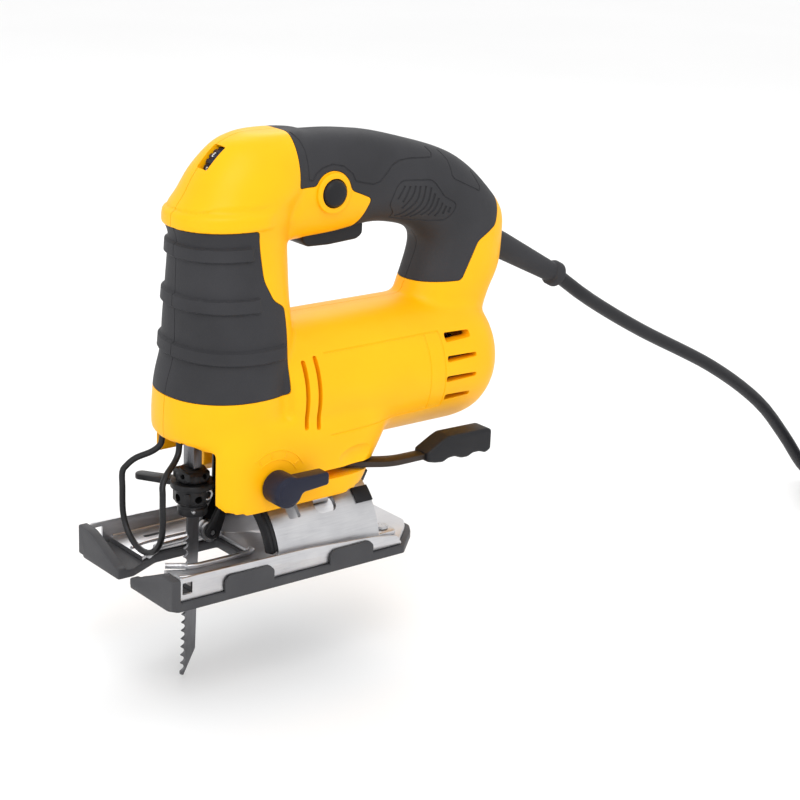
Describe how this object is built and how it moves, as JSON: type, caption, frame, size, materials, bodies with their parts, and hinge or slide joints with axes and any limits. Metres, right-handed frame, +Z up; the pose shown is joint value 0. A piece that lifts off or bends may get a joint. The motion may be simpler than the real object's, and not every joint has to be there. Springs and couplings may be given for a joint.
{
  "type": "corded jigsaw",
  "caption": "Corded orbital jigsaw: two-shell body with rubber grip and nose pad, trigger, tilting forked shoe, reciprocating blade, wire guard, tilt lever, coiled cord and plug.",
  "frame": {"origin": "centre of the shoe's sole, on the plane between the housing halves", "axes": "-X is the cutting direction, +X the cord's end, +Y the tool's right-hand side, +Z up from the sole"},
  "size_m": [0.5511, 0.1345, 0.2494],
  "materials": {
    "yellow_plastic": "fine moulded grain",
    "charcoal_rubber": "matte overmould",
    "black_plastic": "moulded",
    "dark_dial": "satin",
    "pressed_steel": "pressed and plated",
    "cast_aluminium": "as cast",
    "steel": "machined",
    "polished_steel": "ground",
    "black_steel": "phosphated",
    "brown_steel": "blued",
    "blade_steel": "tempered",
    "lamination": "stacked sheet",
    "copper": "turned copper",
    "brass": "folded brass",
    "bronze": "sintered bronze",
    "carbon": "pressed carbon",
    "cord_rubber": "extruded sheath"
  },
  "bodies": {
    "housing": {"housing_left": "yellow_plastic", "housing_right": "yellow_plastic", "grip_left": "charcoal_rubber", "grip_right": "charcoal_rubber", "nose_pad_left": "charcoal_rubber", "nose_pad_right": "charcoal_rubber", "strain_relief": "charcoal_rubber", "switch_module": "black_plastic", "gearcase": "cast_aluminium", "front_bearing": "steel", "rear_bearing": "steel", "stator": "lamination", "brush_left": "carbon", "brush_right": "carbon", "brush_holder_left": "brass", "brush_holder_right": "brass", "gear_axle": "steel", "lower_bush": "bronze", "upper_bush": "bronze", "orbit_pin": "steel", "wire_guard": "black_steel", "tilt_bolt": "steel", "tilt_washer": "steel", "housing_screw_handle": "steel", "housing_screw_post": "steel", "housing_screw_crown": "steel", "housing_screw_barrel": "steel", "cord": "cord_rubber", "cord_tail": "cord_rubber", "cord_coil": "cord_rubber", "cord_tie": "black_plastic", "plug": "black_plastic"},
    "trigger": {"trigger": "black_plastic"},
    "lock_button": {"lock_button": "black_plastic"},
    "speed_dial": {"speed_dial": "dark_dial"},
    "armature": {"motor_shaft": "steel", "rotor_core": "lamination", "commutator": "copper", "cooling_fan": "black_plastic"},
    "gear": {"drive_gear": "steel"},
    "plunger": {"plunger": "polished_steel", "crank_yoke": "steel", "blade_clamp": "black_steel", "blade": "blade_steel"},
    "clamp_lever": {"clamp_lever": "black_steel"},
    "orbit_arm": {"orbit_arm": "black_steel", "roller_axle": "steel"},
    "guide_roller": {"guide_roller": "steel"},
    "orbit_selector": {"orbit_selector": "dark_dial"},
    "shoe": {"shoe_pan": "pressed_steel", "shoe_sole": "black_plastic", "tilt_arch": "pressed_steel", "tilt_stop": "black_plastic", "shoe_rivet_left": "steel", "shoe_rivet_right": "steel"},
    "tilt_lever": {"tilt_lever": "brown_steel", "lever_paddle": "black_plastic"}
  },
  "joints": [
    {"name": "trigger_pull", "type": "hinge", "parent": "housing", "child": "trigger", "pos_m": [0.018, 0, 0.1515], "axis": [0, -1, 0], "range_deg": [0, 7], "stiffness_Nm_per_rad": 0.9, "springref_deg": -20.05},
    {"name": "lock_press", "type": "slide", "parent": "housing", "child": "lock_button", "axis": [0, 1, 0], "range_m": [0, 0.0025], "stiffness_N_per_m": 400, "springref_m": -0.002},
    {"name": "dial_turn", "type": "hinge", "parent": "housing", "child": "speed_dial", "pos_m": [-0.0208, -0.0025, 0.1794], "axis": [0, 1, 0], "range_deg": [-140, 140]},
    {"name": "motor_spin", "type": "hinge", "parent": "housing", "child": "armature", "pos_m": [0, 0, 0.0805], "axis": [1, 0, 0], "continuous": true},
    {"name": "gear_spin", "type": "hinge", "parent": "housing", "child": "gear", "pos_m": [-0.017, 0, 0.1035], "axis": [1, 0, 0], "continuous": true},
    {"name": "plunger_stroke", "type": "slide", "parent": "housing", "child": "plunger", "axis": [0, 0, 1], "range_m": [-0.005, 0.015]},
    {"name": "clamp_open", "type": "hinge", "parent": "plunger", "child": "clamp_lever", "pos_m": [-0.0365, 0, 0.0405], "axis": [0, 0, 1], "range_deg": [0, 50], "stiffness_Nm_per_rad": 0.03, "springref_deg": -22.92},
    {"name": "orbit_swing", "type": "hinge", "parent": "housing", "child": "orbit_arm", "pos_m": [-0.02, 0, 0.052], "axis": [0, -1, 0], "range_deg": [0, 4]},
    {"name": "roller_spin", "type": "hinge", "parent": "orbit_arm", "child": "guide_roller", "pos_m": [-0.02818, 0, 0.016], "axis": [0, 1, 0], "continuous": true},
    {"name": "orbit_select", "type": "hinge", "parent": "housing", "child": "orbit_selector", "pos_m": [-0.0137, -0.038, 0.0445], "axis": [0, -1, 0], "range_deg": [0, 90]},
    {"name": "shoe_tilt", "type": "hinge", "parent": "housing", "child": "shoe", "pos_m": [0, 0, 0.004], "axis": [1, 0, 0], "range_deg": [-45, 45]},
    {"name": "lever_swing", "type": "hinge", "parent": "housing", "child": "tilt_lever", "pos_m": [0.02, 0, 0.042], "axis": [0, 0, -1], "range_deg": [0, 50]}
  ],
  "couplings": [
    {"joint": "gear_spin", "follows": "motor_spin", "ratio": -0.15}
  ]
}
